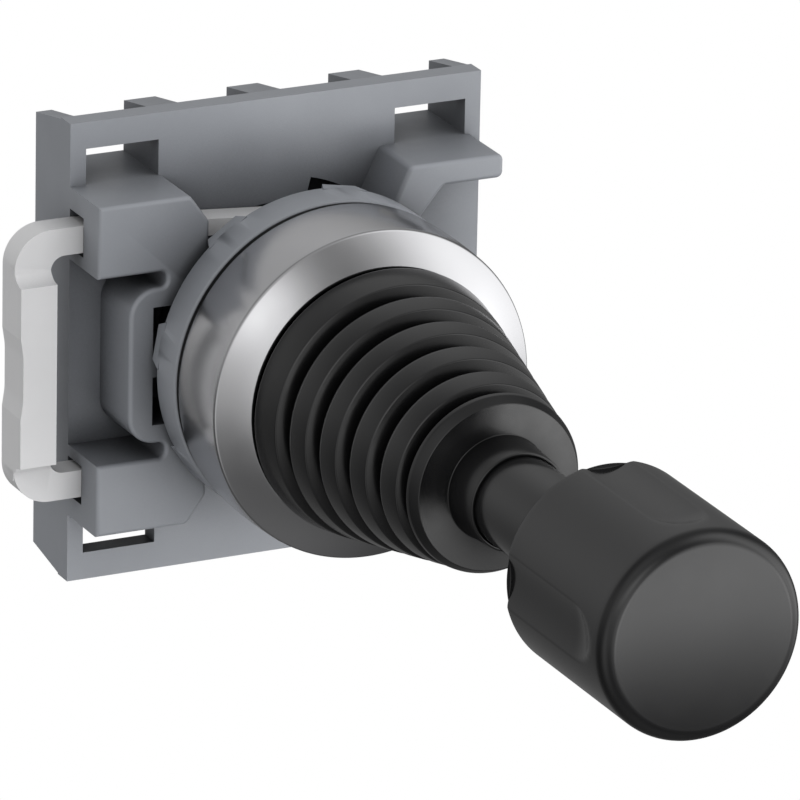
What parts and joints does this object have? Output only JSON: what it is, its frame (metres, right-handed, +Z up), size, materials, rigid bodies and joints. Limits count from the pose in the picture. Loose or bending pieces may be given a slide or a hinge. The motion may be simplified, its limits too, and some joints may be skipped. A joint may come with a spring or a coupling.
{
  "type": "industrial joystick",
  "caption": "Panel-mount industrial joystick: a lever with knob and rubber bellows on a metal ring head, with fixing nut and a holder plate locked by a side fork.",
  "frame": {"origin": "on the lever's axis, in the plane where the head's ring seats on the front of the panel", "axes": "-Y points forward along the lever, out of the panel; +Z is up; +X is to the right seen from the front"},
  "size_m": [0.046, 0.0899, 0.0425],
  "materials": {
    "chrome_ring": "satin",
    "grey_casting": "matte",
    "light_lever": "satin",
    "black_plastic": "satin",
    "black_rubber": "matte",
    "steel": "satin",
    "insert_brass": "satin",
    "bearing_plastic": "satin"
  },
  "bodies": {
    "base": {"bezel": "chrome_ring", "gasket": "black_rubber", "clamp_ring": "black_plastic", "housing": "grey_casting", "retaining_ring": "steel", "pivot_carrier": "bearing_plastic", "gimbal_pins": "steel", "plunger_guide": "black_plastic", "fixing_nut": "grey_casting", "holder": "grey_casting", "bellows": "black_rubber", "spring_left": "steel", "spring_right": "steel", "spring_top": "steel", "spring_bottom": "steel"},
    "gimbal": {"gimbal_ring": "insert_brass"},
    "stick": {"actuator_bell": "bearing_plastic", "swash_plate": "steel", "cross_pin": "steel", "lever_rod": "steel", "stem_sleeve": "black_plastic", "knob_insert": "insert_brass", "knob": "black_plastic"},
    "fork": {"locking_fork": "light_lever"},
    "plunger_left": {"plunger_left": "bearing_plastic"},
    "plunger_right": {"plunger_right": "bearing_plastic"},
    "plunger_top": {"plunger_top": "bearing_plastic"},
    "plunger_bottom": {"plunger_bottom": "bearing_plastic"}
  },
  "joints": [
    {"name": "tilt_sideways", "type": "hinge", "parent": "base", "child": "gimbal", "pos_m": [0, 0, 0], "axis": [0, 0, 1], "range_deg": [-15, 15], "stiffness_Nm_per_rad": 0.5, "deforming": ["bellows", "spring_left", "spring_right"]},
    {"name": "tilt_updown", "type": "hinge", "parent": "gimbal", "child": "stick", "pos_m": [0, 0, 0], "axis": [1, 0, 0], "range_deg": [-15, 15], "stiffness_Nm_per_rad": 0.5, "deforming": ["bellows", "spring_top", "spring_bottom"]},
    {"name": "fork_slide", "type": "slide", "parent": "base", "child": "fork", "axis": [-1, 0, 0], "range_m": [0, 0.005]},
    {"name": "left_plunger_slide", "type": "slide", "parent": "base", "child": "plunger_left", "axis": [0, 1, 0], "range_m": [-0.00195, 0.00195]},
    {"name": "right_plunger_slide", "type": "slide", "parent": "base", "child": "plunger_right", "axis": [0, 1, 0], "range_m": [-0.00195, 0.00195]},
    {"name": "top_plunger_slide", "type": "slide", "parent": "base", "child": "plunger_top", "axis": [0, 1, 0], "range_m": [-0.00195, 0.00195]},
    {"name": "bottom_plunger_slide", "type": "slide", "parent": "base", "child": "plunger_bottom", "axis": [0, 1, 0], "range_m": [-0.00195, 0.00195]}
  ],
  "couplings": [
    {"joint": "left_plunger_slide", "follows": "tilt_sideways", "m_per_rad": -0.007},
    {"joint": "right_plunger_slide", "follows": "tilt_sideways", "m_per_rad": 0.007},
    {"joint": "top_plunger_slide", "follows": "tilt_updown", "m_per_rad": -0.007},
    {"joint": "bottom_plunger_slide", "follows": "tilt_updown", "m_per_rad": 0.007}
  ]
}
